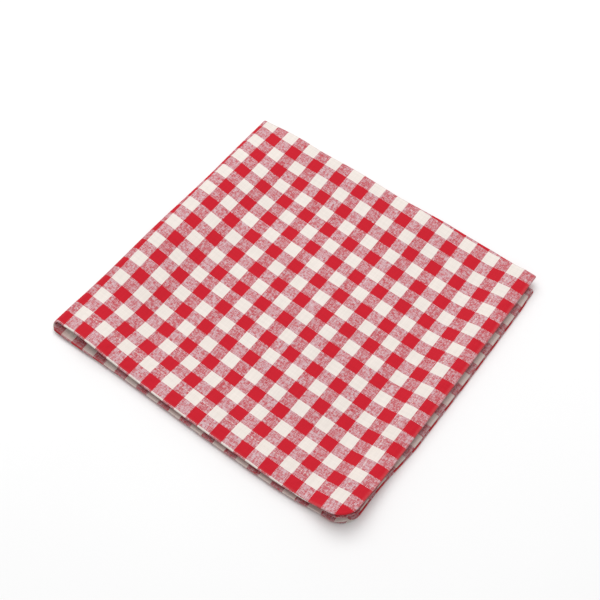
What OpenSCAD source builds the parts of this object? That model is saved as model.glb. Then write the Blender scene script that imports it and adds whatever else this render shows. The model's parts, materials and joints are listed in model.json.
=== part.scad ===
// Checked cotton table cloth, hemmed on all four sides and folded in quarters.
// Four quarter panels lie in two leaves. The lower leaf is panels 1 and 2, the
// upper leaf is panels 3 and 4. Each leaf closes at the back in its own fold,
// and the two leaves join at the left in a double fold, which is the hinge.
// That fold lies a little askew, so the lower leaf sits further to the front.
// The origin is the middle of the footprint, on the surface the cloth lies on.
// Front is -Y, back is +Y, left is -X and right is +X.

/* [Folded size] */
// Width of the folded cloth, from the left fold to the open side edge
folded_w = 250; // [120:1:600]
// Depth of the folded cloth, from the lower leaf's front edge to the upper leaf's fold
folded_d = 235; // [120:1:600]
// How far the upper leaf's front edge lies behind the lower leaf's
upper_front_inset = 4.5; // [0:0.5:8]
// How far the lower leaf's back fold lies in front of the upper leaf's
lower_back_inset = 9; // [0:0.5:12]
// Angle by which the left fold leans away from square with the front edge
fold_skew = 1.6; // [0:0.1:3]
// Radius of the rounded corner where the two open edges meet
corner_r = 14; // [3:0.5:16]

/* [Cloth] */
// Thickness of one layer of the woven cloth
cloth_t = 0.5; // [0.3:0.1:0.8]
// Air left between two layers in the middle of the stack
layer_gap = 0.3; // [0.3:0.1:0.6]
// Air left between the two leaves at their edges
leaf_gap = 0.8; // [0.8:0.1:1.2]

/* [Hems] */
// Width of the hem, which is turned under twice
hem_w = 17.5; // [14:0.5:25]
// Thickness of the turned part of a hem, without the panel it is sewn to
hem_t = 1.5; // [1:0.1:2]

/* [Sewing] */
// Distance from the hem's inner edge to its line of stitches
stitch_inset = 1.5; // [1:0.5:3]
// Width of the sewing thread
thread_w = 0.5; // [0.3:0.1:0.8]
// Height that the sewing thread stands proud of the cloth
thread_h = 0.2; // [0.1:0.05:0.25]

/* [Drape] */
// Distance over which a layer sinks from a thick edge to the middle
slope_w = 35; // [20:1:50]
// Number of grid steps across a sagging panel
panel_steps = 15; // [8:1:24]

/* [Hidden] */
$fn = 64;

// Heights of a leaf and of the whole stack at the hemmed edges
leaf_h = 2 * cloth_t + 2 * hem_t;
stack_h = 2 * leaf_h + leaf_gap;
// Outer radii of the left fold, which holds the stack, and of a leaf's back fold
left_r = stack_h / 2;
back_r = leaf_h / 2;

// Edges of the footprint and the side hems' inner edge
left_x = -folded_w / 2;
right_x = folded_w / 2;
front_y = -folded_d / 2;
back_y = folded_d / 2;
hem_x = right_x - hem_w;

// Front edge of each leaf, its front hems' inner edge, and where its back fold starts
leaf_front = [front_y, front_y + upper_front_inset];
leaf_hem = [for (y = leaf_front) y + hem_w];
leaf_fold = [back_y - lower_back_inset - back_r, back_y - back_r];

// Where the left fold starts, a line that leans to the right towards the back
function fold_x(y) = left_x + left_r / cos(fold_skew) + (y - front_y) * tan(fold_skew);
// Leaf that panel i, counted from 0 at the bottom, belongs to
function leaf_of(i) = i < 2 ? 0 : 1;

// Lines of stitches, which stop just short of the open edges
side_line_x = hem_x + stitch_inset;
function front_line_y(leaf) = leaf_hem[leaf] - stitch_inset;
thread_end = 2;

// Underside of each leaf, and of each panel at its edges and in the middle
leaf_z = [0, leaf_h + leaf_gap];
edge_z = [0, leaf_h - cloth_t, leaf_h + leaf_gap, stack_h - cloth_t];
function middle_z(i) = i * (cloth_t + layer_gap);

// Underside of the turned part of each hem, and of each thread
hem_z = [cloth_t, cloth_t + hem_t, leaf_z[1] + cloth_t, leaf_z[1] + cloth_t + hem_t];
thread_z = [0, leaf_h, leaf_z[1] - thread_h, stack_h];

cloth_colour = [0.80, 0.42, 0.47];
fold_colour = [0.86, 0.55, 0.58];
hem_colour = [0.76, 0.25, 0.31];
thread_colour = [0.95, 0.92, 0.86];

// Steps round the quarter of the rounded corner, and the row just behind it
corner_steps = 5;
corner_row = 1;
// Straight run by which a hem's bend reaches into its flat part
bend_root = 0.3;

// ---- Plan of a panel ----

// Columns as [share of the way from the left fold to the side hem, distance past it]
columns = concat(
  [for (i = [0:panel_steps]) [i / panel_steps, 0]],
  [for (k = [0:corner_steps]) [1, hem_w - corner_r * (1 - sin(90 * k / corner_steps))]]
);
// Rows behind the front edge: behind the corner, the hem's inner edge, even steps
function rows(leaf) = concat(
  [leaf_front[leaf] + corner_r + corner_row],
  [for (j = [0:panel_steps]) leaf_hem[leaf] + j * (leaf_fold[leaf] - leaf_hem[leaf]) / panel_steps]
);
column_count = len(columns);
row_count = len(rows(0)) + 1;
function column_x(c, y) = fold_x(y) + c[0] * (hem_x - fold_x(y)) + c[1];

// The front edge is straight up to the rounded corner, then follows its arc
function into_corner(c) = max(0, c[1] - (hem_w - corner_r));
function corner_rise(c) = corner_r - sqrt(max(0, pow(corner_r, 2) - pow(into_corner(c), 2)));
function row_y(leaf, c, j) = j == 0 ? leaf_front[leaf] + corner_rise(c) : rows(leaf)[j - 1];

// ---- Sag of a panel ----

// Smooth step from 0 to 1, level at both ends
function ease(t) = let (u = min(1, max(0, t))) u * u * (3 - 2 * u);
// 0 on every fold and hem of both leaves, 1 in the middle of the stack
function sag(x, y) =
  ease((x - fold_x(y)) / slope_w) * ease((hem_x - x) / slope_w)
  * ease((y - leaf_hem[1]) / slope_w) * ease((leaf_fold[0] - y) / slope_w);
function panel_z(i, x, y) = edge_z[i] - (edge_z[i] - middle_z(i)) * sag(x, y);

// ---- Panels ----

// A sheet from the left fold to the side edge, with its front right corner rounded
module rounded_plan(y0, y1) {
  arc_x = right_x - corner_r;
  arc_y = y0 + corner_r;
  polygon([[fold_x(y0), y0], [arc_x, y0], [arc_x, arc_y], [right_x, arc_y], [right_x, y1], [fold_x(y1), y1]]);
  translate([arc_x, arc_y]) intersection() {
    circle(corner_r);
    translate([0, -corner_r]) square(corner_r);
  }
}

// A grid of points on the underside and one on the upper side, closed round its rim
module sagging_panel(i) {
  points = [
    for (z = [0, cloth_t], c = columns, j = [0:row_count - 1])
      let (y = row_y(leaf_of(i), c, j), x = column_x(c, y)) [x, y, panel_z(i, x, y) + z]
  ];
  layer = column_count * row_count;
  last_i = column_count - 1;
  last_j = row_count - 1;
  function p(side, a, b) = side * layer + a * row_count + b;
  upper = [
    for (a = [0:last_i - 1], b = [0:last_j - 1], half = [0, 1])
      half == 0
        ? [p(1, a, b), p(1, a, b + 1), p(1, a + 1, b + 1)]
        : [p(1, a, b), p(1, a + 1, b + 1), p(1, a + 1, b)]
  ];
  under = [
    for (a = [0:last_i - 1], b = [0:last_j - 1], half = [0, 1])
      half == 0
        ? [p(0, a, b), p(0, a + 1, b + 1), p(0, a, b + 1)]
        : [p(0, a, b), p(0, a + 1, b), p(0, a + 1, b + 1)]
  ];
  front_rim = [
    for (a = [0:last_i - 1], half = [0, 1])
      half == 0
        ? [p(1, a, 0), p(1, a + 1, 0), p(0, a + 1, 0)]
        : [p(1, a, 0), p(0, a + 1, 0), p(0, a, 0)]
  ];
  back_rim = [
    for (a = [0:last_i - 1], half = [0, 1])
      half == 0
        ? [p(1, a + 1, last_j), p(1, a, last_j), p(0, a, last_j)]
        : [p(1, a + 1, last_j), p(0, a, last_j), p(0, a + 1, last_j)]
  ];
  left_rim = [
    for (b = [0:last_j - 1], half = [0, 1])
      half == 0
        ? [p(1, 0, b + 1), p(1, 0, b), p(0, 0, b)]
        : [p(1, 0, b + 1), p(0, 0, b), p(0, 0, b + 1)]
  ];
  right_rim = [
    for (b = [0:last_j - 1], half = [0, 1])
      half == 0
        ? [p(1, last_i, b), p(1, last_i, b + 1), p(0, last_i, b + 1)]
        : [p(1, last_i, b), p(0, last_i, b + 1), p(0, last_i, b)]
  ];
  polyhedron(
    points = points,
    faces = concat(upper, under, front_rim, back_rim, left_rim, right_rim),
    convexity = 4
  );
}

// The bottom panel lies flat, and its threads are pulled flush into its underside
module panel_1_bottom() {
  color(cloth_colour) difference() {
    linear_extrude(cloth_t) rounded_plan(leaf_front[0], leaf_fold[0]);
    front_thread(0);
    side_thread(0);
  }
}

module panel_2() { color(cloth_colour) sagging_panel(1); }

module panel_3() { color(cloth_colour) sagging_panel(2); }

module panel_4_top() { color(cloth_colour) sagging_panel(3); }

// ---- Folds ----

// Part of a ring, kept in the quarter on the side sx and the height side sz
module quarter_ring(outer, inner, sx, sz) {
  intersection() {
    difference() {
      circle(outer);
      circle(inner);
    }
    scale([sx, sz]) square(outer);
  }
}

// A quarter tube along the left fold, from depth y0 to y1, on the height side sz,
// drawn too long and cut square at both ends, with a straight root into the flat
module left_quarter(outer, inner, y0, y1, sz, root = 0) {
  start_y = y0 - outer;
  intersection() {
    translate([fold_x(start_y), start_y, left_r])
      rotate([90, 0, 180 - fold_skew]) linear_extrude(y1 - y0 + 3 * outer) {
        quarter_ring(outer, inner, 1, sz);
        if (root > 0) scale([1, sz]) translate([-root, inner]) square([root, outer - inner]);
      }
    translate([left_x - outer, y0, 0]) cube([fold_x(y1) - left_x + 2 * outer, y1 - y0, stack_h]);
  }
}

// The back fold of a leaf, a half tube along X that joins its two panels
module back_fold(leaf) {
  start_x = fold_x(leaf_fold[leaf]);
  translate([start_x, leaf_fold[leaf], leaf_z[leaf] + back_r])
    rotate([90, 0, 90]) linear_extrude(right_x - start_x) {
      quarter_ring(back_r, back_r - cloth_t, 1, -1);
      quarter_ring(back_r, back_r - cloth_t, 1, 1);
    }
}

module back_fold_lower() { color(fold_colour) back_fold(0); }

module back_fold_upper() { color(fold_colour) back_fold(1); }

// Half of the double fold: outer layer from panel 1 to 4, inner layer from panel 2 to 3
module left_fold(leaf, outer) {
  sz = leaf == 0 ? -1 : 1;
  color(fold_colour) left_quarter(outer, outer - cloth_t, leaf_front[leaf], leaf_fold[leaf], sz);
}

module left_fold_outer_lower() { left_fold(0, left_r); }

module left_fold_inner_lower() { left_fold(0, leaf_gap / 2 + cloth_t); }

module left_fold_inner_upper() { left_fold(1, leaf_gap / 2 + cloth_t); }

module left_fold_outer_upper() { left_fold(1, left_r); }

// ---- Hems ----

// The front hem of panel i, carried on round its half of the left fold
module front_hem(i) {
  leaf = leaf_of(i);
  outer_layer = i == 0 || i == 3;
  outer = outer_layer ? left_r - cloth_t : left_r - cloth_t - hem_t;
  sz = leaf == 0 ? -1 : 1;
  color(hem_colour) {
    translate([0, 0, hem_z[i]]) linear_extrude(hem_t) rounded_plan(leaf_front[leaf], leaf_hem[leaf]);
    left_quarter(outer, outer - hem_t, leaf_front[leaf], leaf_hem[leaf], sz, bend_root);
  }
}

module front_hem_1() { front_hem(0); }

module front_hem_2() { front_hem(1); }

module front_hem_3() { front_hem(2); }

module front_hem_4() { front_hem(3); }

// The side hem of panel i, carried on round its half of the back fold
module side_hem(i) {
  leaf = leaf_of(i);
  sz = i % 2 == 0 ? -1 : 1;
  color(hem_colour) {
    translate([hem_x, leaf_hem[leaf], hem_z[i]])
      cube([hem_w, leaf_fold[leaf] - leaf_hem[leaf], hem_t]);
    translate([hem_x, leaf_fold[leaf], leaf_z[leaf] + back_r])
      rotate([90, 0, 90]) linear_extrude(hem_w) intersection() {
        circle(hem_t);
        scale([1, sz]) square(hem_t);
      }
  }
}

module side_hem_1() { side_hem(0); }

module side_hem_2() { side_hem(1); }

module side_hem_3() { side_hem(2); }

module side_hem_4() { side_hem(3); }

// ---- Stitching ----

// The thread that closes the front hem of panel i
module front_thread(i) {
  y = front_line_y(leaf_of(i)) - thread_w / 2;
  start_x = fold_x(y + thread_w);
  translate([start_x, y, thread_z[i]]) cube([right_x - thread_end - start_x, thread_w, thread_h]);
}

// The thread that closes the side hem of panel i, from the front thread to the fold
module side_thread(i) {
  y = front_line_y(leaf_of(i)) + thread_w / 2;
  translate([side_line_x - thread_w / 2, y, thread_z[i]])
    cube([thread_w, leaf_fold[leaf_of(i)] - y, thread_h]);
}

module front_stitching_1() { color(thread_colour) front_thread(0); }

module front_stitching_2() { color(thread_colour) front_thread(1); }

module front_stitching_3() { color(thread_colour) front_thread(2); }

module front_stitching_4() { color(thread_colour) front_thread(3); }

module side_stitching_1() { color(thread_colour) side_thread(0); }

module side_stitching_2() { color(thread_colour) side_thread(1); }

module side_stitching_3() { color(thread_colour) side_thread(2); }

module side_stitching_4() { color(thread_colour) side_thread(3); }

// ---- Assembly ----

panel_1_bottom();
panel_2();
panel_3();
panel_4_top();
back_fold_lower();
back_fold_upper();
left_fold_outer_lower();
left_fold_inner_lower();
left_fold_inner_upper();
left_fold_outer_upper();
front_hem_1();
front_hem_2();
front_hem_3();
front_hem_4();
side_hem_1();
side_hem_2();
side_hem_3();
side_hem_4();
front_stitching_1();
front_stitching_2();
front_stitching_3();
front_stitching_4();
side_stitching_1();
side_stitching_2();
side_stitching_3();
side_stitching_4();
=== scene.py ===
"""Checked cotton table cloth, hemmed on four sides and folded in quarters.

The whole cloth is one grid of points, laid out as it was woven: rows run across
the cloth and columns run along it.  The grid is folded by formula into two leaves
joined by a double fold on the left.  It is then cut into the lower leaf, the upper
leaf, and the outer and inner layers of the left fold, each in short lengths.  The
turned parts of the hems and the rows of stitches are pieces of their own.
Lengths are in millimetres until a mesh is made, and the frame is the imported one.
"""
import json
import math

import bpy
import numpy as np
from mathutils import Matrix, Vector


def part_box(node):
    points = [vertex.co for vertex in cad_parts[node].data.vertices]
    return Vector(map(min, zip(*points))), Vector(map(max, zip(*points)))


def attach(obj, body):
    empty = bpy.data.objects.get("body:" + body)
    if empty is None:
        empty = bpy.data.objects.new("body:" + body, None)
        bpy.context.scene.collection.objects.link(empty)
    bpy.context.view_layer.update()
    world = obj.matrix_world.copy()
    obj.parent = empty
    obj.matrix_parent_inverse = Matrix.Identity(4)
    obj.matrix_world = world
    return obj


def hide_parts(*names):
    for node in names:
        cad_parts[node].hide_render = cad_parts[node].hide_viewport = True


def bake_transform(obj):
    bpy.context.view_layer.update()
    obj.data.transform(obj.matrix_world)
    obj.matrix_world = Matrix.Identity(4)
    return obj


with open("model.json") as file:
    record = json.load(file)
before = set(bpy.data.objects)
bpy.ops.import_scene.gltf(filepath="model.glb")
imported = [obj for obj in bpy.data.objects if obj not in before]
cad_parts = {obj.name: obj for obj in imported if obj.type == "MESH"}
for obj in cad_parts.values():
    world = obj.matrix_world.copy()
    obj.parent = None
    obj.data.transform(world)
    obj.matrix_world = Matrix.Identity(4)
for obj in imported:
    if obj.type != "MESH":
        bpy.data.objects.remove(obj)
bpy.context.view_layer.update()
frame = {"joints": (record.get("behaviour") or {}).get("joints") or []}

# ---- Sizes taken from the frame ----

MM = 0.001


def node_box(node):
    """Lowest and highest corner of a CAD node, in millimetres."""
    low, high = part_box(node)
    return np.array(low) / MM, np.array(high) / MM


hinge = frame["joints"][0]
hinge_x, hinge_y = np.array(hinge["pos_m"])[:2] / MM
fold_slope = hinge["axis"][0] / hinge["axis"][1]
right_x = node_box("panel_4_top")[1][0]
upper_front_y = node_box("panel_4_top")[0][1]
upper_back_y = node_box("back_fold_upper")[1][1]
cloth_t = node_box("panel_1_bottom")[1][2] - node_box("panel_1_bottom")[0][2]
hem_w = right_x - node_box("side_hem_4")[0][0]

# ---- Cloth and pattern ----

check_w = 10.0           # width of a check, across the cloth
check_d = 9.6            # depth of a check, along the cloth
check_zero_x = -1.0      # where the middle column of checks is centred
check_zero_y = 7.9       # where the middle row of checks is centred
fold_count = -25.0       # columns on the two sides of the left fold add up to this
lower_hem_check = -12.33     # row at which the lower leaf's front hem is turned, at the right
lower_hem_drift = 0.35       # how many rows further out it is turned at the left
back_fold_check = 11.17      # row at which the back folds begin
back_fold_drift = 0.22       # how many rows further back the lower one begins at the right
drift_w = 110.0              # width over which the front hem drifts, from the middle to the left

# How far the weave is pulled out of square: bows and lean, at the edges
half_w = 120.0
half_d = 115.0
bow_x = 0.46
lean_x = 1.35
bow_y = 2.0
back_row_pull = 3.0
pull_bell = (-88.0, 30.0)    # across the cloth, where that pull is centred and how far it reaches
pull_run = (45.0, 60.0)      # along the cloth, where it begins and over what length it grows

# ---- Edges ----

corner_r = 14.0          # rounded corner where the open edges meet
right_inset = 1.5        # how far the upper leaf's right edge lies inside the frame's
right_step = 0.5         # how far panel 3's right edge lies inside panel 4's
edge_lean = 1.05         # lean of the right edge, as a share of the weave's
edge_run_on = 5.0        # how far in front of the upper leaf the side edges keep their line
lower_right_out = {1: 0.6, 2: -0.2}     # how far each lower panel's edge stands out there
front_step = 1.2         # how far panel 3's front edge lies behind panel 4's
front_cover = 0.8        # how far panel 1's front edge lies behind panel 2's
corner_pull = 1.3        # how far the front edges draw back at the rounded corner
fold_waist = 1.7         # how far the left fold draws in behind its middle
fold_tip_out = 1.9       # how far it stands out at the front, where it is hemmed
lower_front_out = 1.9    # how far the lower leaf stands out in front of the upper one
lower_tip_out = 3.2      # how much further at the left
lower_corner_in = 1.8    # how much less at the right
back_inset = 1.0         # how far both back folds lie inside the frame's
back_bow = 1.2           # how much further back they lie at the two ends
back_corner_in = 4.8     # how far the back left corner draws in
back_out = 1.9           # how far the upper back fold stands out
back_right_out = 1.0     # how much further at the right
back_left_in = 2.5       # how much less at the left
back_bulge = 2.4         # how much further in the bulge right of its middle
lower_back_in = 1.0      # how far the lower back fold lies in front
lower_back_draw = 3.1    # how much further in front at the right
roll_r = 0.75            # radius of the cloth's middle where it rolls round a hem edge
turn_under = 5.5         # cloth carried on under the hem edge past the roll
back_r = 2.0             # reach of a back fold
back_fold_rise = 1.4     # mean half height of its bend, by which its cloth is measured
join_reach = 5.0         # from the left fold's outermost line to where the leaves begin
inner_fold_reach = 0.9   # from that line to the inner layer's bend
hem_fold_reach = 1.5     # how much further in the inner bend lies where it is hemmed
hem_fold_run = (12.0, 5.4)       # distances from the front edge over which it goes back out
drop_share = (0.6, 0.5)  # shares of the hem's roll taken up by the outer and inner bends
lower_bluntness = 0.6    # power of the sine below a bend's middle: 1 gives half an ellipse
outer_arc = 14.4         # length of cloth round the fold in its outer layer
inner_arc = 9.4          # and in its inner layer
tight_arc = 8.4          # how much shorter the inner one is at its hem, where it is pulled tight
tight_reach = 45.0
fold_cuts = (-70.0, -25.0, 20.0, 55.0, 80.0, 100.0)      # where its layers are cut into lengths

# Where these lie. A run is the start and the length of a smooth step, and a bell is its
# centre and its reach.
waist_bell = (42.0, 50.0)
tip_reach = 34.0
corner_run = (55.0, 65.0)
lower_tip_reach = 0.18           # as a share of the width, and so is the next
lower_corner_run = (0.8, 0.15)
back_corner_reach = 15.0
back_right_run = (60.0, 60.0)
back_left_run = (-75.0, 50.0)
bulge_run = (0.0, 50.0)
bulge_end_run = (84.0, 24.0)

# How far the lower leaf is sheared out at the right, from its front edge back: a rise, and
# the start and length of the run that it takes
shear_steps = ((3.3, -76.0, 46.0), (0.5, -30.0, 60.0), (-0.6, 95.0, 15.0))
shear_inset = 0.2

# ---- Heights ----

bottom_z = 0.3           # middle of the bottom layer of cloth
layer_step = 0.8         # from one layer to the next in the middle of the stack
leaf_share = 0.45        # share of a rim's height that lies within the upper leaf
between_share = 0.08     # and between the two leaves: the rest lies within the lower one
right_rim = 8.2          # how much the hems at the right lift the top layer
right_reach = 38.0       # how far in from the edge that lift reaches
front_rim = 6.2          # the same at the front
front_reach = 46.0
left_rim = 5.2           # and at the left fold
left_rim_fall = 1.2      # how much less that is at the back, and more at the front
left_hump = 2.6          # how much higher the left side stands half way along
hump_bell = (8.0, 52.0)
hump_reach = 85.0
back_rim = 3.4           # how much the back folds lift the top layer
corner_rim = 1.4         # and the corner where the hems cross
corner_rim_reach = 45.0
flat_corner = 0.75       # share of the left rim that is lost at the back left corner
flat_corner_w = 34.0
flat_corner_d = 26.0
fold_clear = 42.0        # distance from the left fold at which the other rims are at full height
right_clear = 40.0       # distance from the right edge at which the back rim is
arch_h = 3.0             # how much higher both leaves stand at the front left
arch_w = 110.0           # how far in from the left fold that arch reaches
arch_d = 60.0            # how far back it reaches
arch_top = 0.245         # where its top is, as a share of its width
arch_start = 0.12        # share of its width over which it starts
lens_h = 2.6             # how far the upper leaf stands off the lower one there
lens_start = 0.16        # shares of the arch's width over which that gap opens and closes
lens_end_run = (0.2, 0.4)
front_droop = 0.95       # share of its height that panel 2 loses at its front edge
front_droop_reach = 9.0
right_droop = 0.6        # and at its right edge
right_droop_reach = 7.0
leaf_top = 8.6           # height that panel 3 never passes, so that it opens clear of the table
packed_z = 3.7           # height of panel 2 where its hem lies on panel 1's
rim_level = 4.0          # width along an edge over which a rim stays at its full height
rim_reach = 50.0         # how far in a rim reaches, where nothing else is said
soft_h = 0.16            # heights of the soft and fine ripples and of the puckers at the hems
fine_h = 0.05
pucker_h = 0.10
pucker_pitch = 8.7
pucker_wander = 1.3      # how far the puckers wander to either side, in radians
ripple_clear = 30.0      # distance from the left fold at which ripples are at full height
hem_spill = 3.0          # how far past a hem its puckers run on
hem_fade = 8.0           # width over which they fade
pucker_clear = 5.0       # distance from an open edge at which they are at full height


def ease(t):
    """Smooth step from 0 to 1, level at both ends: 3t squared less 2t cubed."""
    t = np.clip(t, 0.0, 1.0)
    return t * t * (3.0 - 2.0 * t)


def ramp(v, start, length):
    """The same smooth step, from 0 at the start to 1 a length further on."""
    return ease((v - start) / length)


def bell(v, centre, reach):
    """1 at the centre and falling away alike to both sides: exp of minus the square of the
    distance over the reach."""
    return np.exp(-(((v - centre) / reach) ** 2))


def ripples(x, y, count, shortest, longest, seed):
    """Sum of sine waves with seeded directions, lengths and phases, about 1 high at most."""
    draw = np.random.default_rng(seed)
    total = np.zeros(np.broadcast(x, y).shape)
    for _ in range(count):
        length = draw.uniform(shortest, longest)
        angle = draw.uniform(0.0, math.tau)
        phase = draw.uniform(0.0, math.tau)
        along = x * math.cos(angle) + y * math.sin(angle)
        total = total + np.sin(math.tau * along / length + phase)
    return total / math.sqrt(2.0 * count)


# ---- Plan of the edges ----

def fold_x(y):
    """The left fold's outermost line, which leans with the hinge, draws in behind and
    stands out at the front."""
    line = hinge_x + fold_slope * (y - hinge_y) + fold_waist * bell(y, *waist_bell)
    return line - fold_tip_out * bell(y, upper_front_y, tip_reach)


def join_x(y):
    """Where the leaves begin, beside the left fold."""
    return fold_x(y) + join_reach


def across(x):
    """0 at the left fold and 1 at the right edge."""
    return (x + right_x) / (2.0 * right_x)


def lower_shear(y):
    """How far the lower leaf stands out at the right: hardly at all at the front, more
    from there on, and a little less at the back corner."""
    return sum(rise * ramp(y, start, length) for rise, start, length in shear_steps) - shear_inset


def right_edge(y, panel):
    """A panel's right edge: a shallow bow with a lean, shifted layer by layer."""
    y = np.clip(y, upper_front_y - edge_run_on, upper_back_y)
    edge = right_x - right_inset - bow_x * (y / half_d) ** 2 - edge_lean * lean_x * y / half_d
    if panel > 2:
        return edge - (right_step if panel == 3 else 0.0)
    return edge + lower_shear(y) + lower_right_out[panel]


def front_edge(x, panel):
    """A panel's front edge: a bow, and in the lower leaf further forward, most at the left.
    Panel 2 covers panel 1's edge."""
    y = upper_front_y + bow_y * (x / half_w) ** 2 + corner_pull * ramp(x, *corner_run)
    if panel == 3:
        return y + front_step
    if panel == 4:
        return y
    u = np.clip(across(x), 0.0, 1.0)
    out = lower_front_out + lower_tip_out * bell(u, 0.0, lower_tip_reach)
    out = out - lower_corner_in * ramp(u, *lower_corner_run)
    return y - out + (front_cover if panel == 1 else 0.0)


def back_line(x, leaf):
    """Where a leaf's back fold starts to bend: a bow that draws in at the left corner. The
    upper leaf's bulges right of its middle, and the lower leaf's draws in to the right."""
    y = upper_back_y - back_r - back_inset + back_bow * (x / half_w) ** 2
    y = y - back_corner_in * np.exp(-(x + right_x) / back_corner_reach)
    if leaf == "upper":
        y = y + back_out + back_right_out * ramp(x, *back_right_run)
        y = y - back_left_in * (1.0 - ramp(x, *back_left_run))
        return y + back_bulge * ramp(x, *bulge_run) * (1.0 - ramp(x, *bulge_end_run))
    return y - lower_back_in - lower_back_draw * ease(across(x))


# ---- Heights of the four layers ----

def rim(distance, reach=rim_reach):
    """1 along an edge, falling smoothly to 0 where the stack is thin."""
    return 1.0 - ease((distance - rim_level) / (reach - rim_level))


def held_under(height, limit):
    """Height pressed down smoothly so that it stays under a limit: a sixth-power mean."""
    return height * (1.0 + (height / limit) ** 6) ** (-1.0 / 6.0)


def layer_heights(x, y):
    """Heights of the middle of panels 1 to 4: bare layers lie close together, and the
    folds and hems lift the edges. A rim's height is shared between the leaves, an arch and
    a gap are added at the front left, and panel 2 droops on to panel 1 at its open edges."""
    from_left = np.maximum(x - join_x(y), 0.0)
    from_right = np.maximum(right_edge(y, 4) - x, 0.0)
    from_front = np.maximum(y - front_edge(x, 4), 0.0)
    from_back = np.maximum(back_line(x, "upper") + back_r - y, 0.0)
    clear_of_fold = ease(from_left / fold_clear)
    back_corner = np.exp(-(from_left / flat_corner_w) ** 2 - (from_back / flat_corner_d) ** 2)
    hump = left_hump * bell(y, *hump_bell) * rim(from_left, hump_reach)
    lift = (left_rim - left_rim_fall * y / half_d) * rim(from_left) * (1.0 - flat_corner * back_corner)
    lift = lift + right_rim * rim(from_right, right_reach)
    lift = lift + front_rim * rim(from_front, front_reach) * clear_of_fold
    lift = lift + back_rim * rim(from_back) * clear_of_fold * ease(from_right / right_clear)
    lift = lift + corner_rim * np.exp(-(from_right + from_front) / corner_rim_reach) + hump
    u = from_left / arch_w
    at_front = 1.0 - ease(from_front / arch_d)
    bump = (u / arch_top) * np.exp(1.0 - u / arch_top) * np.clip(1.0 - u, 0.0, 1.0)
    arch = arch_h * (bump * ease(u / arch_start)) * at_front
    lens = lens_h * ease(u / lens_start) * (1.0 - ramp(u, *lens_end_run)) * at_front
    inside = ease(from_left / ripple_clear)
    soft = ripples(x, y, count=9, shortest=34.0, longest=95.0, seed=5) * inside
    fine = ripples(x, y, count=12, shortest=13.0, longest=30.0, seed=6) * inside
    wander = pucker_wander * ripples(x, y, count=4, shortest=30.0, longest=60.0, seed=7)
    pucker = np.sin(math.tau * (x - y) / pucker_pitch + wander)
    to_hem = np.minimum(from_front, from_right)
    hem = ease((hem_w + hem_spill - to_hem) / hem_fade)
    pucker = pucker * hem * inside * ease(to_hem / pucker_clear)
    z_1 = np.full_like(lift, bottom_z)
    z_3 = held_under(z_1 + 2.0 * layer_step + (1.0 - leaf_share) * lift + arch, leaf_top)
    z_2 = z_3 - layer_step - between_share * lift - lens
    own_front = np.maximum(y - front_edge(x, 2), 0.0)
    own_right = np.maximum(right_edge(y, 2) - x, 0.0)
    droop = np.maximum(
        front_droop * (1.0 - ease(own_front / front_droop_reach)),
        right_droop * (1.0 - ease(own_right / right_droop_reach)),
    )
    z_2 = z_2 - droop * np.maximum(z_2 - packed_z, 0.0)
    z_4 = z_1 + 3.0 * layer_step + lift + arch + soft_h * soft + fine_h * fine + pucker_h * pucker
    return {1: z_1, 2: z_2, 3: z_3, 4: z_4}


# ---- The cloth as one grid ----

def near_edge():
    """Distances from an edge, from the end of the turned cloth to the hem's inner edge:
    close together round the roll and the rounded corner."""
    last = roll_r - math.pi * roll_r - turn_under
    roll_end = roll_r - math.pi * roll_r
    return np.concatenate([
        np.linspace(last, roll_end, 5)[:-1],
        np.linspace(roll_end, roll_r, 8)[:-1],
        np.linspace(roll_r, corner_r, 13)[:-1],
        np.linspace(corner_r, hem_w, 5),
    ])


edge_steps = near_edge()
edge_count = len(edge_steps)
middle_rows = np.linspace(0.0, 1.0, 97)[1:]
middle_columns = np.linspace(0.0, 1.0, 106)[:-1]
fold_angles = np.linspace(0.0, math.pi, 10)[1:-1]

# Painted shade in the cloth's colour: how much of the light is kept from the cloth that each panel turns
# under its edges
painted_shade_share = {1: 0.25, 2: 0.7, 3: 1.0, 4: 0.9}
edge_shade = 0.45        # the same for panel 2's hemmed edges, which lie under the upper leaf's
tip_shade = 0.95         # and where they run into the left fold
back_shade = 0.4         # and for the steep side of the back folds
tip_shade_reach = 9.0    # how far the tips' shade reaches from the left fold
hem_shade_run = (2.5, 5.0)       # where the hemmed edges' shade fades, in from the edge
back_shade_run = (0.4, 0.9)      # angles of a back fold over which its shade grows
under_start = 0.3        # distance from an edge at which the shade under it begins
under_length = 1.3       # and over what length it grows, outwards

clear_of_edges = 1000.0  # a distance at which an edge has no effect
tiny = 1e-9              # keeps a division clear of 0

# Rows of a leaf, from the outer panel's turned edge over the back fold to the inner panel's
row_reach = np.concatenate([edge_steps, np.full(len(middle_rows), hem_w)])
row_share = np.concatenate([np.zeros(edge_count), middle_rows])
panel_rows = len(row_reach)
row_total = 2 * panel_rows + len(fold_angles)
middle_row = panel_rows + len(fold_angles) // 2

# Columns of a leaf, from the left join to the turned right edge
column_share = np.concatenate([middle_columns, np.ones(edge_count)])
column_reach = np.concatenate([np.full(len(middle_columns), hem_w), edge_steps[::-1]])
column_total = len(column_share)


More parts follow.
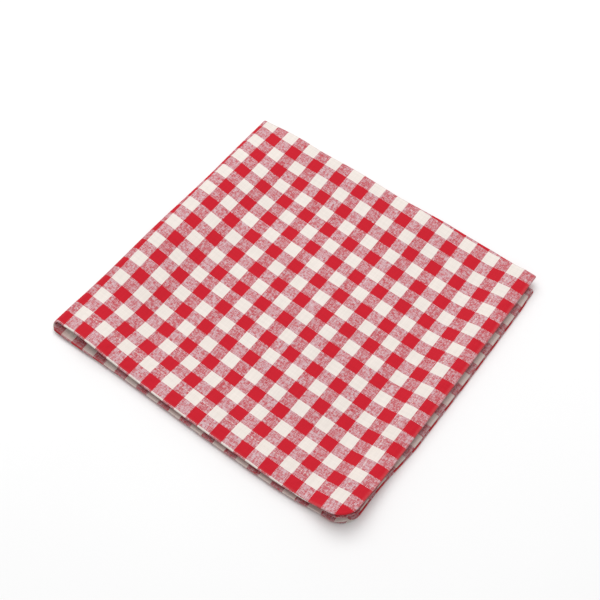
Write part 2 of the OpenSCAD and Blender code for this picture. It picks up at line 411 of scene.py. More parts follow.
def roll_edges(a, b):
    """Rolls the cloth round its edges. a and b are distances in from the right and front
    edges, measured in the cloth. Past the edge a point goes round half a circle and then
    back under. Returns the new distances and how far it has dropped."""
    reach = corner_r - edge_steps[0]
    straight = corner_r - roll_r
    p = np.maximum(corner_r - a, 0.0)
    q = np.maximum(corner_r - b, 0.0)
    rho = np.maximum(np.hypot(p, q), tiny)
    past = np.maximum(rho - straight, 0.0)
    most = reach * rho / np.maximum(np.maximum(p, q), tiny) - straight
    least = reach - straight
    # Round the corner more cloth lies past the edge, and is drawn in to the same reach
    past = past - (most - least) * (past / most) ** 2
    half_turn = math.pi * roll_r
    on_roll = past < half_turn
    out = np.where(on_roll, roll_r * np.sin(past / roll_r), half_turn - past)
    drop = np.where(on_roll, roll_r * (1.0 - np.cos(past / roll_r)), 2.0 * roll_r)
    rolled = rho > straight
    new_rho = straight + out
    new_a = np.where(rolled & (p > 0.0), corner_r - new_rho * p / rho, a)
    new_b = np.where(rolled & (q > 0.0), corner_r - new_rho * q / rho, b)
    return new_a, new_b, np.where(rolled, drop, 0.0)


def check_column(x, y):
    """Column of the pattern at a place on the upper leaf, with the weave's bow and lean."""
    pulled = x - check_zero_x + bow_x * (y / half_d) ** 2 + lean_x * (x / half_w) * (y / half_d)
    return pulled / check_w


def check_row(x, y):
    """Row of the pattern at a place on the upper leaf: rows bow a little at both ends, and
    are pulled forward beside the back left corner."""
    pulled = back_row_pull * bell(x, *pull_bell) * ramp(y, *pull_run)
    return (y - check_zero_y - bow_y * (x / half_w) ** 2 + pulled) / check_d


def leaf_grid(leaf):
    """Points and pattern places of one leaf, as arrays of column by row. The outer panel
    comes first, then the back fold, a half ellipse, and then the inner panel."""
    outer, inner = (4, 3) if leaf == "upper" else (1, 2)
    up = 1.0 if leaf == "upper" else -1.0
    share = column_share[:, None]
    reach = column_reach[:, None]

    def panel_plan(panel):
        """Flat places of one panel's points: shares between the hem and the far fold."""
        y = np.linspace(upper_front_y, upper_back_y, panel_rows)[None, :] + 0.0 * share
        x = y
        for _ in range(3):
            edge = right_edge(y, panel)
            x = np.where(share < 1.0, join_x(y) + share * (edge - hem_w - join_x(y)), edge - reach)
            start = front_edge(x, panel)
            span = back_line(x, leaf) - start - hem_w
            y = start + row_reach[None, :] + row_share[None, :] * span
        return x, y

    x_outer, y_outer = panel_plan(outer)
    x_inner, y_inner = panel_plan(inner)
    turn = fold_angles[None, :]
    half = 0.5 - 0.5 * np.cos(turn)
    x_fold = x_outer[:, -1:] * (1.0 - half) + x_inner[:, -1:] * half
    y_fold = back_line(x_fold, leaf)

    def panel_points(panel, x, y, inward):
        """Rolled points of a panel, and the drop of each one."""
        a = right_edge(y, panel) - x
        b = y - front_edge(x, panel)
        new_a, new_b, drop = roll_edges(a, b)
        px = x + a - new_a
        py = y + new_b - b
        pz = layer_heights(px, py)[panel] + inward * drop
        return px, py, pz, drop, np.minimum(a, b)

    ox, oy, oz, o_drop, o_reach = panel_points(outer, x_outer, y_outer, -up)
    ix, iy, iz, i_drop, i_reach = panel_points(inner, x_inner, y_inner, up)

    edge = right_edge(y_fold, outer) * (1.0 - half) + right_edge(y_fold, inner) * half
    a = edge - x_fold
    new_a, _, f_drop = roll_edges(a, np.full(a.shape, clear_of_edges))
    fx = x_fold + a - new_a
    heights = layer_heights(fx, back_line(fx, leaf))
    middle = 0.5 * (heights[outer] + heights[inner])
    tall = 0.5 * (heights[outer] - heights[inner])
    swing = np.abs(tall)
    fy = back_line(fx, leaf) + (back_r - f_drop) * np.sin(turn)
    fz = middle + np.sign(tall) * (swing - f_drop) * np.cos(turn)

    x = np.concatenate([ox, fx, ix[:, ::-1]], axis=1)
    y = np.concatenate([oy, fy, iy[:, ::-1]], axis=1)
    z = np.concatenate([oz, fz, iz[:, ::-1]], axis=1)
    drop = np.concatenate([o_drop, f_drop, i_drop[:, ::-1]], axis=1)
    hem = np.concatenate([o_reach, a + 0.0 * turn, i_reach[:, ::-1]], axis=1)
    # Painted shade, darkening the colour: cloth turned under the edges, the steep side of the back
    # folds, and in the lower leaf the inner panel's hemmed edges, most at the tip by the left fold
    shares = np.full(row_total, painted_shade_share[outer])
    shares[panel_rows:] = painted_shade_share[inner]
    under = shares[None, :] * ease((under_start - hem) / under_length)
    round_back = np.concatenate([np.zeros(panel_rows), fold_angles, np.zeros(panel_rows)])
    under = np.maximum(under, back_shade * ramp(round_back, *back_shade_run)[None, :])
    if leaf == "lower":
        inner_row = (np.arange(row_total) >= panel_rows)[None, :]
        tip = bell(x, join_x(y), tip_shade_reach)
        shade = edge_shade + (tip_shade - edge_shade) * tip
        under = np.maximum(under, shade * (1.0 - ramp(hem, *hem_shade_run)) * inner_row)

    # Pattern places, measured in the flat cloth
    fold_length = 0.5 * math.pi * (back_r + back_fold_rise) / check_d

    def row_check(xx, yy, panel):
        """Row of the pattern. In the lower leaf it is counted from the turned edge, which
        drifts across the pattern, to the back fold."""
        if leaf == "upper":
            return check_row(xx, yy)
        start = front_edge(xx, panel)
        part = (yy - start) / (back_line(xx, leaf) - start)
        # The inner panel is counted back from the fold, so there the drift comes in again
        back_drift = back_fold_drift * ease(across(xx))
        turned = lower_hem_check - lower_hem_drift * ease(-xx / drift_w) + 2.0 * back_drift
        back = back_fold_check + back_drift
        return turned + part * (back - turned)

    t_outer = row_check(x_outer, y_outer, outer)
    t_inner = row_check(x_inner, y_inner, inner)
    t_fold = t_outer[:, -1:] + fold_length * turn / math.pi
    t_inner = t_outer[:, -1:] + fold_length + t_inner[:, -1:] - t_inner
    flat_x = np.concatenate([x_outer, x_fold, x_inner[:, ::-1]], axis=1)
    flat_y = np.concatenate([y_outer, y_fold, y_inner[:, ::-1]], axis=1)
    t = np.concatenate([t_outer, t_fold, t_inner[:, ::-1]], axis=1)
    s = check_column(flat_x, flat_y)
    if leaf == "lower":
        s = s - lower_shear(flat_y) / check_w * share
        at_join = check_column(flat_x[:1], flat_y[:1])
        spare = -fold_count - fold_arc(flat_y[0]) / check_w + 2.0 * at_join
        s = fold_count - s + spare * (1.0 - share)
    return {"x": x, "y": y, "z": z, "s": s, "t": t, "drop": drop, "hem": hem, "under": under}


def row_blend():
    """For each row, 0 in the outer layer and 1 in the inner one, turning over in the back fold."""
    return np.concatenate([
        np.zeros(panel_rows), 0.5 - 0.5 * np.cos(fold_angles), np.ones(panel_rows),
    ])


def fold_arc(y):
    """Length of cloth that each row takes round the left fold. The inner layer is pulled
    tight where it is hemmed."""
    tight = tight_arc * (1.0 - ramp(y, upper_front_y, tight_reach))
    return outer_arc + (inner_arc - tight - outer_arc) * row_blend()


fold_turns = np.linspace(0.0, math.pi, 21)[1:-1]


def left_fold_grid(lower, upper):
    """Joins the leaves: each row goes from its place in the lower leaf to its place in the
    upper one round half an ellipse that is blunter below: its depth times the sine of the
    turn, to a power. The inner layer nests inside the outer one, and hems turned between
    the two lie between them."""
    turn = fold_turns[:, None]
    part = 0.5 - 0.5 * np.cos(turn)
    inner = row_blend()
    from_edge = np.concatenate([row_reach, np.full(len(fold_angles), hem_w), row_reach[::-1]])
    hemmed = 1.0 - ramp(from_edge, *hem_fold_run)
    drop = upper["drop"][0]
    outer_depth = join_reach - 0.5 * cloth_t - drop_share[0] * drop
    inner_depth = join_reach - inner_fold_reach - hem_fold_reach * hemmed + drop_share[1] * drop
    depth = outer_depth * (1.0 - inner) + inner_depth * inner
    grid = {}
    for key in ("x", "y", "z", "drop", "hem", "under"):
        grid[key] = lower[key][:1] * (1.0 - part) + upper[key][:1] * part
    for key in ("s", "t"):
        along = turn / math.pi
        grid[key] = lower[key][:1] * (1.0 - along) + upper[key][:1] * along
    power = np.where(turn < 0.5 * math.pi, lower_bluntness, 1.0)
    grid["x"] = grid["x"] - depth[None, :] * np.sin(turn) ** power
    return grid


def whole_cloth():
    """The lower leaf from its right edge to the join, the left fold, and the upper leaf."""
    lower = leaf_grid("lower")
    upper = leaf_grid("upper")
    fold = left_fold_grid(lower, upper)
    return {key: np.concatenate([lower[key][::-1], fold[key], upper[key]]) for key in upper}


def grid_normals(points):
    """Unit normals of a grid of points: the cross product of its two directions of travel."""
    along = np.gradient(points, axis=0)
    over = np.gradient(points, axis=1)
    normal = np.cross(along, over)
    size = np.linalg.norm(normal, axis=2, keepdims=True)
    return normal / np.maximum(size, 1e-12)


# ---- Meshes ----

def mesh_object(name, points, faces, uv=None, floats=None, normals=None):
    """A mesh from points in millimetres. uv and floats hold one value for each point."""
    mesh = bpy.data.meshes.new(name)
    mesh.from_pydata((points * MM).tolist(), [], faces)
    mesh.polygons.foreach_set("use_smooth", np.ones(len(mesh.polygons), bool))
    if uv is not None:
        layer = mesh.uv_layers.new(name="cloth")
        corners = np.zeros(len(mesh.loops), np.int32)
        mesh.loops.foreach_get("vertex_index", corners)
        layer.data.foreach_set("uv", uv[corners].astype(np.float32).ravel())
    for key, values in (floats or {}).items():
        attribute = mesh.attributes.new(key, "FLOAT", "POINT")
        attribute.data.foreach_set("value", values.astype(np.float32))
    mesh.update()
    if normals is not None:
        mesh.normals_split_custom_set_from_vertices(normals.tolist())
    obj = bpy.data.objects.new(name, mesh)
    bpy.context.scene.collection.objects.link(obj)
    return obj


def quads(a, b, c, d):
    """Faces of four corners each, from four equal arrays of point numbers."""
    return np.stack([a.ravel(), b.ravel(), c.ravel(), d.ravel()], axis=1)


def tube_faces(index):
    """Faces of a closed tube from its point numbers, ring by ring: sides and two caps."""
    following = np.roll(index, -1, axis=1)
    sides = quads(index[:-1], following[:-1], following[1:], index[1:])
    return sides.tolist() + [index[0][::-1].tolist(), index[-1].tolist()]


def sheet_piece(name, grid, normals, columns, rows):
    """A closed piece of cloth cut from the grid: its right side and its wrong side lie
    half a thickness to either side of the middle, and a narrow rim joins them."""
    part = (slice(*columns), slice(*rows))
    middle = np.stack([grid["x"], grid["y"], grid["z"]], axis=2)[part]
    normal = normals[part]
    count_i, count_j = middle.shape[:2]
    shift = 0.5 * cloth_t * normal
    points = np.concatenate([(middle + shift).reshape(-1, 3), (middle - shift).reshape(-1, 3)])
    index = np.arange(count_i * count_j).reshape(count_i, count_j)
    under = index + count_i * count_j
    faces = [
        quads(index[:-1, :-1], index[1:, :-1], index[1:, 1:], index[:-1, 1:]),
        quads(under[:-1, :-1], under[:-1, 1:], under[1:, 1:], under[1:, :-1]),
        quads(index[:-1, 0], under[:-1, 0], under[1:, 0], index[1:, 0]),
        quads(index[:-1, -1], index[1:, -1], under[1:, -1], under[:-1, -1]),
        quads(index[0, :-1], index[0, 1:], under[0, 1:], under[0, :-1]),
        quads(index[-1, :-1], under[-1, :-1], under[-1, 1:], index[-1, 1:]),
    ]
    uv = np.stack([grid["s"][part], grid["t"][part]], axis=2).reshape(-1, 2)
    hem = grid["hem"][part].ravel()
    # Painted shade for each point, the same on both faces
    painted_shade_values = np.concatenate([grid["under"][part].ravel()] * 2)
    flat_normals = normal.reshape(-1, 3)
    return mesh_object(
        name,
        points,
        np.concatenate(faces).tolist(),
        uv=np.concatenate([uv, uv]),
        floats={"hem_distance": np.concatenate([hem, hem]), "painted_shade": painted_shade_values},
        normals=np.concatenate([flat_normals, -flat_normals]),
    )


def tube_piece(name, sections, uv, hem, under):
    """A closed band: rings of points in a row, joined side to side and capped at both ends."""
    count_i, count_j = sections.shape[:2]
    index = np.arange(count_i * count_j).reshape(count_i, count_j)
    # under is a painted shade that darkens the whole band's colour
    return mesh_object(
        name,
        sections.reshape(-1, 3),
        tube_faces(index),
        uv=uv.reshape(-1, 2),
        floats={"hem_distance": hem.ravel(), "painted_shade": np.full(hem.size, under)},
    )


# ---- Turned hems ----

hem_half = 0.6           # half the thickness of the turned cloth
hem_depth = 0.96         # depth of its middle below the panel's
fold_gap = 0.4           # how far a front hem stays clear of the left fold
edge_gap = 1.6           # and of the right edge
hem_gap = 0.3            # how far a side hem stays clear of the front hem
back_gap = 0.2           # and of the back fold


def hem_profile():
    """Section of the turned cloth as distance from the edge and depth below the panel:
    thin beside the rolled edge, fuller past the end of the roll, and rounded inside."""
    top = [(1.5, 0.36), (6.0, 0.36), (11.0, 0.36), (16.2, 0.36)]
    nose = [
        (hem_w - hem_half + hem_half * math.sin(q), hem_depth - hem_half * math.cos(q))
        for q in np.linspace(0.3, math.pi - 0.1, 6)
    ]
    below = [(12.0, 1.56), (8.6, 1.5), (7.2, 1.16), (4.0, 1.12), (1.6, 1.1), (1.25, 0.74)]
    return np.array(top + nose + below)


def hem_band(name, panel, side, steps=110):
    """The turned part of one hem, carried along its edge under the panel. Front hems turn
    in with the rounded corner, and side hems run from the front hem to the back fold."""
    leaf = "upper" if panel > 2 else "lower"
    inward = -1.0 if panel in (2, 4) else 1.0
    profile = hem_profile()
    part = np.linspace(0.0, 1.0, steps)[:, None]
    reach = profile[None, :, 0]
    if side == "front":
        y = np.full((steps, 1), upper_front_y)
        first = join_x(y) + fold_gap
        x = first + part * (right_edge(y, panel) - edge_gap - first)
        a = right_edge(y, panel) - x
        past = np.clip(corner_r - a, 0.0, corner_r)
        rise = corner_r - np.sqrt(corner_r**2 - past**2)
        x = x + 0.0 * reach
        y = front_edge(x, panel) + reach + rise * np.clip(1.0 - reach / (2.0 * hem_w), 0.0, 1.0)
    else:
        start = front_edge(np.full((steps, 1), right_x - hem_w), panel) + hem_w + hem_gap
        stop = back_line(np.full((steps, 1), right_x - 0.5 * hem_w), leaf) - back_gap
        y = start + part * (stop - start) + 0.0 * reach
        x = right_edge(y, panel) - reach
    z = layer_heights(x, y)[panel] + inward * profile[None, :, 1]
    sections = np.stack([x, y, z], axis=2)
    if (side == "front") == (inward < 0.0):
        sections = sections[:, ::-1]
    s = check_column(x, y)
    t = 2.0 * check_row(x, front_edge(x, 4)) - check_row(x, y)
    # the band takes its panel's painted shade
    return tube_piece(name, sections, np.stack([s, t], axis=2), reach + 0.0 * x, painted_shade_share[panel])


# ---- Stitching ----

seam_reach = 16.0        # distance of the seam from the edge
stitch_pitch = 2.7       # from one stitch to the next
stitch_length = 2.0
stitch_w = 0.46
stitch_h = 0.2           # half the height of a stitch
stitch_dip = 0.16        # how far its ends dip into the cloth
stitch_sides = 6
stitch_rings = 5
stitch_rise = {1: -0.18, 2: 0.02, 3: 0.02, 4: 0.02}      # sunk in under panel 1, clear of the table
end_taper = 0.94         # how far its ends taper off: 1 would end them in a point
pitch_spread = 0.06      # how unevenly the stitches follow each other
wander_spread = 0.05     # and how far they stray to either side
seam_start_gap = 1.0     # how far a seam stays clear of a fold
corner_gap = 3.0         # and of the right edge


def stitch_run(name, panel, side):
    """A row of stitches along a hem's seam. Each one is a short spindle of six sides that
    dips into the cloth at both ends, laid along the panel's outer face."""
    leaf = "upper" if panel > 2 else "lower"
    outward = 1.0 if panel in (2, 4) else -1.0
    if side == "front":
        first = float(join_x(upper_front_y)) + seam_start_gap
        last = right_x - corner_gap
    else:
        first = float(front_edge(right_x - seam_reach, panel)) + seam_reach + stitch_pitch
        last = float(back_line(right_x - seam_reach, leaf)) - seam_start_gap
    count = int((last - first) / stitch_pitch)
    draw = np.random.default_rng(100 + 10 * panel + (side == "side"))
    centre = first + (np.arange(count) + 0.5) * stitch_pitch + draw.normal(0.0, pitch_spread, count)
    wander = draw.normal(0.0, wander_spread, count)
    along = np.linspace(-1.0, 1.0, stitch_rings)
    turn = np.arange(stitch_sides) * math.tau / stitch_sides
    girth = np.sqrt(np.clip(1.0 - end_taper * along**2, 0.0, 1.0))
    run = centre[:, None, None] + 0.5 * stitch_length * along[None, :, None] + 0.0 * turn
    off = wander[:, None, None] + 0.5 * stitch_w * girth[None, :, None] * np.cos(turn)
    lift = stitch_h * girth[None, :, None] * np.sin(turn)
    dip = stitch_dip * along[None, :, None] ** 2
    if side == "front":
        x = run
        y = front_edge(x, panel) + seam_reach + off
    else:
        y = run
        x = right_edge(y, panel) - seam_reach - off
    surface = layer_heights(x, y)[panel] + outward * 0.5 * cloth_t
    z = surface + outward * (stitch_rise[panel] + lift - dip)
    points = np.stack([x, y, z], axis=3).reshape(-1, 3)
    ring = np.arange(stitch_rings * stitch_sides).reshape(stitch_rings, stitch_sides)
    one = tube_faces(ring)
    if (side == "front") == (outward > 0.0):
        one = [face[::-1] for face in one]
    faces = [[corner + k * ring.size for corner in face] for k in range(count) for face in one]
    return mesh_object(name, points, faces)


# ---- Materials ----

class Nodes:
    """Short ways to add and join the nodes of one material."""

    def __init__(self, name):
        self.material = bpy.data.materials.new(name)
        self.material.use_nodes = True
        self.tree = self.material.node_tree
        self.shader = self.tree.nodes["Principled BSDF"]

    def add(self, kind, **settings):
        """A new node with its settings."""
        node = self.tree.nodes.new(kind)
        for key, value in settings.items():
            setattr(node, key, value)
        return node

    def plug(self, value, socket):
        """Gives a socket a link or a plain value."""
        if isinstance(value, bpy.types.NodeSocket):
            self.tree.links.new(value, socket)
        else:
            socket.default_value = value

    def maths(self, operation, a, b=None, clamp=False):
        """One sum on one or two values, held between 0 and 1 if clamped."""
        node = self.add("ShaderNodeMath", operation=operation, use_clamp=clamp)
        for value, socket in zip((a, b), node.inputs):
            if value is not None:
                self.plug(value, socket)
        return node.outputs[0]

    def mix(self, share, a, b, blend="MIX"):
        """Colour a turned into colour b by a share, or blended with it in another way."""
        node = self.add("ShaderNodeMix", data_type="RGBA", blend_type=blend)
        self.plug(share, node.inputs[0])
        self.plug(a, node.inputs[6])
        self.plug(b, node.inputs[7])
        return node.outputs[2]

    def multiply(self, a, b):
        """Colour a tinted by colour b."""
        return self.mix(1.0, a, b, blend="MULTIPLY")

    def noise(self, vector, scale, detail, rough=0.5):
        """Soft noise from 0 to 1."""
        node = self.add("ShaderNodeTexNoise")
        self.plug(vector, node.inputs["Vector"])
        node.inputs["Scale"].default_value = scale
        node.inputs["Detail"].default_value = detail
        node.inputs["Roughness"].default_value = rough
        return node.outputs["Fac"]

    def random(self, vector):
        """A number from 0 to 1 for each whole pair of numbers."""
        node = self.add("ShaderNodeTexWhiteNoise", noise_dimensions="2D")
        self.plug(vector, node.inputs["Vector"])
        return node.outputs["Value"]

    def scaled(self, value, amount):
        """A value times an amount."""
        return self.maths("MULTIPLY", value, amount)

    def relief(self, height, strength, distance):
        """Bumps the surface by a height, the distance being in metres."""
        node = self.add("ShaderNodeBump")
        node.inputs["Strength"].default_value = strength
        node.inputs["Distance"].default_value = distance
        self.plug(height, node.inputs["Height"])
        self.plug(node.outputs["Normal"], self.shader.inputs["Normal"])

    def pair(self, x, y):
        """A place from two numbers."""
        node = self.add("ShaderNodeCombineXYZ")
        self.plug(x, node.inputs["X"])
        self.plug(y, node.inputs["Y"])
        return node.outputs["Vector"]


white = (1.0, 1.0, 1.0, 1.0)
red_thread = (0.570, 0.012, 0.026, 1.0)
cream_thread = (0.830, 0.758, 0.703, 1.0)
mixed_tint = (0.880, 0.880, 1.000, 1.0)     # how two colours of thread shade each other
# shade_tint is painted shade: the colour towards which cloth in gaps and under edges is darkened
shade_tint = (0.560, 0.400, 0.390, 1.0)     # cloth turned under an edge, out of the light
worn_cream = (0.88, 0.80, 0.76, 1.0)        # threads rubbed pale along an edge
threads_per_check = 16.0
slubs_per_check = 5.3    # how often a thread changes between thick and thin
parity_shift = 4096.0    # an even number that keeps the count of threads above 0
column_show = 0.565      # share of a speckled check that shows the column threads
over_show = 0.45         # how much more shows of the thread that lies on top
slub_show = 0.42         # how much more shows of a thick thread
blotch_show = 0.14       # how far the speckle shifts in soft blotches
mixed_depth = 0.13       # how much redder a speckled check is than its threads alone
thread_shade = 0.045     # how far threads differ in shade
broad_shade = 0.10       # and how far the whole cloth does, in broad and in small patches
small_shade = 0.06
full_value = 1.10        # brightness where no shade is taken off
worn_w = 2.2             # width of the worn edge
worn_share = 0.12        # how far its colour is rubbed off at most
seam_w = 1.1             # half the width of the dent along the seam
base_rough = 0.82        # roughness of the cloth, and how much of it is added in blotches
blotch_rough = 0.14
fuzz_h = 0.8             # heights of fuzz, soft creases and the seam's dent, in thread crowns
crease_h = 1.6
seam_h = 1.5


def checked_cotton():
    """Two red threads crossing give a red check, two cream ones a cream check, and one of
    each a speckled pink one."""
    n = Nodes("checked_cotton")
    uv = n.add("ShaderNodeUVMap", uv_map="cloth").outputs["UV"]
    split = n.add("ShaderNodeSeparateXYZ")
    n.plug(uv, split.inputs[0])
    s = split.outputs["X"]
    t = split.outputs["Y"]
    column = n.maths("FLOOR", n.scaled(s, threads_per_check))
    row = n.maths("FLOOR", n.scaled(t, threads_per_check))

    def is_red(thread):
        """1 where a thread's check is red: every other check, counted from the middle one."""
        place = n.maths("DIVIDE", n.maths("ADD", thread, 0.5), threads_per_check)
        turn = n.maths("FRACT", n.maths("ADD", n.scaled(place, 0.5), 0.25))
        return n.maths("LESS_THAN", turn, 0.5)

    column_red = is_red(column)
    row_red = is_red(row)
    over = n.maths("MODULO", n.maths("ADD", n.maths("ADD", column, row), parity_shift), 2.0)
    blotch = n.noise(uv, 9.0, 4.0, 0.75)
    along_column = n.maths("FLOOR", n.scaled(t, slubs_per_check))
    along_row = n.maths("FLOOR", n.scaled(s, slubs_per_check))
    column_slub = n.random(n.pair(column, along_column))
    row_slub = n.random(n.pair(along_row, n.maths("ADD", row, 0.5)))
    slub = n.maths("SUBTRACT", column_slub, row_slub)
    spread = n.maths("ADD", n.scaled(slub, slub_show), column_show)
    spread = n.maths("ADD", spread, n.scaled(n.maths("SUBTRACT", blotch, 0.5), blotch_show))
    on_top = n.scaled(n.maths("SUBTRACT", over, 0.5), over_show)
    shown = n.maths("ADD", on_top, spread, clamp=True)
    red = n.maths("ADD", n.maths("MULTIPLY", column_red, shown),
                  n.maths("MULTIPLY", row_red, n.maths("SUBTRACT", 1.0, shown)), clamp=True)
    mixed = n.maths("ABSOLUTE", n.maths("SUBTRACT", column_red, row_red))
    deeper = n.maths("ADD", red, n.scaled(mixed, mixed_depth), clamp=True)
    colour = n.mix(deeper, cream_thread, red_thread)
    colour = n.multiply(colour, n.mix(mixed, white, mixed_tint))
    column_shade = n.random(n.pair(column, 3.0))
    row_shade = n.random(n.pair(row, 17.0))
    shade = n.scaled(n.maths("ADD", column_shade, row_shade), thread_shade)
    shade = n.maths("ADD", shade, n.scaled(n.noise(uv, 0.35, 3.0), broad_shade))
    shade = n.maths("ADD", shade, n.scaled(n.noise(uv, 5.0, 3.0), small_shade))
    hem = n.add("ShaderNodeAttribute", attribute_name="hem_distance").outputs["Fac"]

    def near(distance, width):
        """1 where a distance is 0, falling evenly to 0 at the width."""
        part = n.maths("DIVIDE", n.maths("ABSOLUTE", distance), width)
        return n.maths("SUBTRACT", 1.0, part, clamp=True)

    worn = n.maths("MULTIPLY", near(hem, worn_w), n.noise(uv, 6.0, 2.0))
    seam = near(n.maths("SUBTRACT", hem, seam_reach), seam_w)
    colour = n.mix(n.scaled(worn, worn_share), colour, worn_cream)
    dark = n.add("ShaderNodeHueSaturation")
    n.plug(colour, dark.inputs["Color"])
    n.plug(n.maths("SUBTRACT", full_value, shade), dark.inputs["Value"])
    # Painted shade: a point attribute darkens the colour towards shade_tint, in gaps and under edges
    # where shade falls
    under = n.add("ShaderNodeAttribute", attribute_name="painted_shade").outputs["Fac"]
    shaded = n.multiply(dark.outputs["Color"], n.mix(under, white, shade_tint))
    n.plug(shaded, n.shader.inputs["Base Color"])
    roughness = n.maths("ADD", base_rough, n.scaled(blotch, blotch_rough))
    n.plug(roughness, n.shader.inputs["Roughness"])

    def thread_crown(place):
        """Rounded height across one thread: half a sine wave."""
        return n.maths("ABSOLUTE", n.maths("SINE", n.scaled(place, math.pi * threads_per_check)))

    weave = n.maths("ADD", n.maths("MULTIPLY", thread_crown(s), over),
                    n.maths("MULTIPLY", thread_crown(t), n.maths("SUBTRACT", 1.0, over)))
    fuzz = n.noise(uv, 38.0, 2.0)
    height = n.maths("ADD", weave, n.scaled(fuzz, fuzz_h))
    height = n.maths("ADD", height, n.scaled(n.noise(uv, 2.2, 3.0), crease_h))
    height = n.maths("SUBTRACT", height, n.scaled(seam, seam_h))
    n.relief(height, strength=0.35, distance=0.00018)
    n.shader.inputs["Specular IOR Level"].default_value = 0.12
    n.shader.inputs["Sheen Weight"].default_value = 0.06
    n.shader.inputs["Sheen Roughness"].default_value = 0.6
    return n.material


twist_shadow = (0.74, 0.66, 0.57, 1.0)
twist_light = (0.90, 0.85, 0.78, 1.0)


def sewing_thread():
    """Cream cotton thread: a fine twist of two plies, slightly uneven in shade."""
    n = Nodes("sewing_thread")
    place = n.add("ShaderNodeTexCoord").outputs["Object"]
    wave = n.add("ShaderNodeTexWave", wave_type="BANDS", bands_direction="DIAGONAL")
    n.plug(place, wave.inputs["Vector"])
    wave.inputs["Scale"].default_value = 900.0
    wave.inputs["Distortion"].default_value = 1.5
    uneven = n.noise(place, 420.0, 3.0)
    share = n.maths("ADD", n.scaled(wave.outputs["Fac"], 0.5), n.scaled(uneven, 0.5))
    n.plug(n.mix(share, twist_shadow, twist_light), n.shader.inputs["Base Color"])
    n.plug(n.maths("ADD", 0.62, n.scaled(uneven, 0.2)), n.shader.inputs["Roughness"])
    n.relief(wave.outputs["Fac"], strength=0.4, distance=0.00008)
    n.shader.inputs["Sheen Weight"].default_value = 0.1
    return n.material


def pale_floor():
    """Pale board with a hardly visible mottle."""
    n = Nodes("pale_floor")
    place = n.add("ShaderNodeTexCoord").outputs["Object"]
    mottle = n.mix(n.noise(place, 6.0, 3.0), (0.91, 0.91, 0.91, 1.0), (0.93, 0.93, 0.93, 1.0))
    n.plug(mottle, n.shader.inputs["Base Color"])
    n.shader.inputs["Roughness"].default_value = 0.9
    n.shader.inputs["Specular IOR Level"].default_value = 0.1
    return n.material


cotton = checked_cotton()
thread = sewing_thread()


def dress(obj, material, slot, *nodes):
    """Gives a piece its finish and hides the CAD nodes that it stands for."""
    obj.data.materials.append(material)
    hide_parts(*nodes)
    return obj


# ---- Cloth pieces ----

cloth = whole_cloth()
cloth_normals = grid_normals(np.stack([cloth["x"], cloth["y"], cloth["z"]], axis=2))
fold_start = column_total - 1
fold_stop = column_total + len(fold_turns) + 1
all_rows = (0, row_total)

lower_leaf_cloth = sheet_piece("lower_leaf_cloth", cloth, cloth_normals, (0, column_total), all_rows)
upper_leaf_cloth = sheet_piece("upper_leaf_cloth", cloth, cloth_normals, (fold_stop - 1, None), all_rows)
dress(lower_leaf_cloth, cotton, "checked_cotton", "panel_1_bottom", "panel_2", "back_fold_lower")
dress(upper_leaf_cloth, cotton, "checked_cotton", "panel_3", "panel_4_top", "back_fold_upper")
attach(lower_leaf_cloth, "lower_leaf")
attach(upper_leaf_cloth, "upper_leaf")


def fold_centre(y):
    """Height half way between the leaves where they run into the left fold."""
    h = layer_heights(np.array(join_x(y)), np.array(y))
    return float(h[2] + h[3]) / 2.0


def fold_pieces(layer, rows):
    """Cuts one layer of the left fold into lengths, end to end. For each length it works out the
    straight line that joins the heights half way between the leaves at its two ends."""
    first, last = rows
    run = cloth["y"][fold_start, first:last]
    cuts = sorted({first + int(np.argmin(np.abs(run - y))) for y in fold_cuts} | {first, last - 1})
    made = []
    for number, (row, next_row) in enumerate(zip(cuts[:-1], cuts[1:]), start=1):
        name = f"left_fold_{layer}_cloth_{number}"
        obj = sheet_piece(name, cloth, cloth_normals, (fold_start, fold_stop), (row, next_row + 1))
        dress(obj, cotton, "checked_cotton", f"left_fold_{layer}_lower", f"left_fold_{layer}_upper")
        y_a = float(cloth["y"][fold_start, row])
        y_b = float(cloth["y"][fold_start, next_row])
        slope = (fold_centre(y_b) - fold_centre(y_a)) / (y_b - y_a)
        centre = fold_centre(y_a) - slope * y_a
        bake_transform(obj)
        made.append(obj)
    return made


left_fold = fold_pieces("outer", (0, middle_row + 1))
left_fold = left_fold + fold_pieces("inner", (middle_row, row_total))

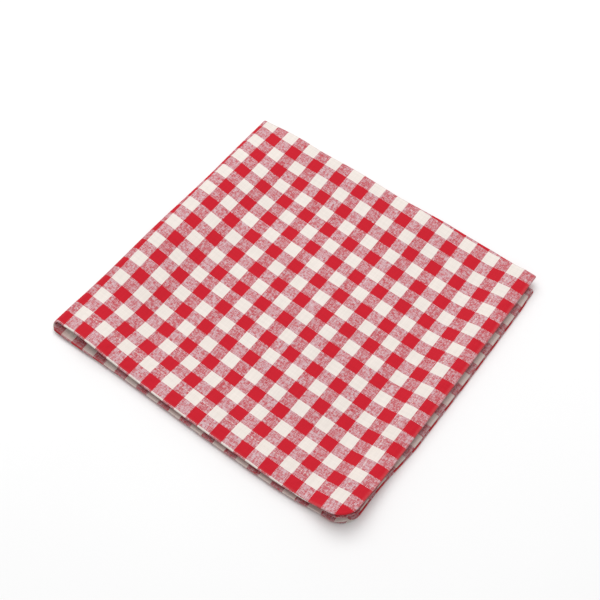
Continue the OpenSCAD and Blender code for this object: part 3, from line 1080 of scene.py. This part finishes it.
pieces_on = {"lower_leaf": [], "upper_leaf": []}
for panel in (1, 2, 3, 4):
    body = "upper_leaf" if panel > 2 else "lower_leaf"
    for side in ("front", "side"):
        band = hem_band(f"{side}_hem_band_{panel}", panel, side)
        dress(band, cotton, "checked_cotton", f"{side}_hem_{panel}")
        run = stitch_run(f"{side}_stitch_run_{panel}", panel, side)
        dress(run, thread, "thread", f"{side}_stitching_{panel}")
        for obj in (band, run):
            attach(obj, body)
            pieces_on[body].append(obj)

# ---- Floor, light and camera ----

scene = bpy.context.scene
scene.view_settings.view_transform = "Standard"
scene.view_settings.look = "None"

floor_half = 3.0
corners = np.array([[-1.0, -1.0, 0.0], [1.0, -1.0, 0.0], [1.0, 1.0, 0.0], [-1.0, 1.0, 0.0]])
floor = mesh_object("floor", corners * floor_half / MM, [[0, 1, 2, 3]])
floor.data.materials.append(pale_floor())

world = bpy.data.worlds.new("studio")
world.use_nodes = True
room_light = world.node_tree.nodes["Background"]
room_light.inputs["Color"].default_value = white
room_light.inputs["Strength"].default_value = 0.42
scene.world = world


def soft_light(name, place, size, power):
    """A large square light that points at the cloth."""
    data = bpy.data.lights.new(name, "AREA")
    data.shape = "SQUARE"
    data.size = size
    data.energy = power
    light = bpy.data.objects.new(name, data)
    light.location = place
    light.rotation_euler = (-Vector(place)).to_track_quat("-Z", "Y").to_euler()
    scene.collection.objects.link(light)


soft_light("overhead_softbox", (-0.35, 0.35, 1.6), 1.6, 26.5)

view_azimuth = math.radians(37.36)
view_elevation = math.radians(61.41)
view_distance = 0.9376
view_target = Vector((-0.0019, 0.0071, 0.0029))
lens_mm = 79.72
back_to_camera = Vector((
    math.sin(view_azimuth) * math.cos(view_elevation),
    -math.cos(view_azimuth) * math.cos(view_elevation),
    math.sin(view_elevation),
))
camera_data = bpy.data.cameras.new("camera")
camera_data.lens = lens_mm
camera_data.sensor_width = 36.0
camera = bpy.data.objects.new("camera", camera_data)
camera.location = view_target + view_distance * back_to_camera
camera.rotation_euler = (-back_to_camera).to_track_quat("-Z", "Y").to_euler()
scene.collection.objects.link(camera)
scene.camera = camera
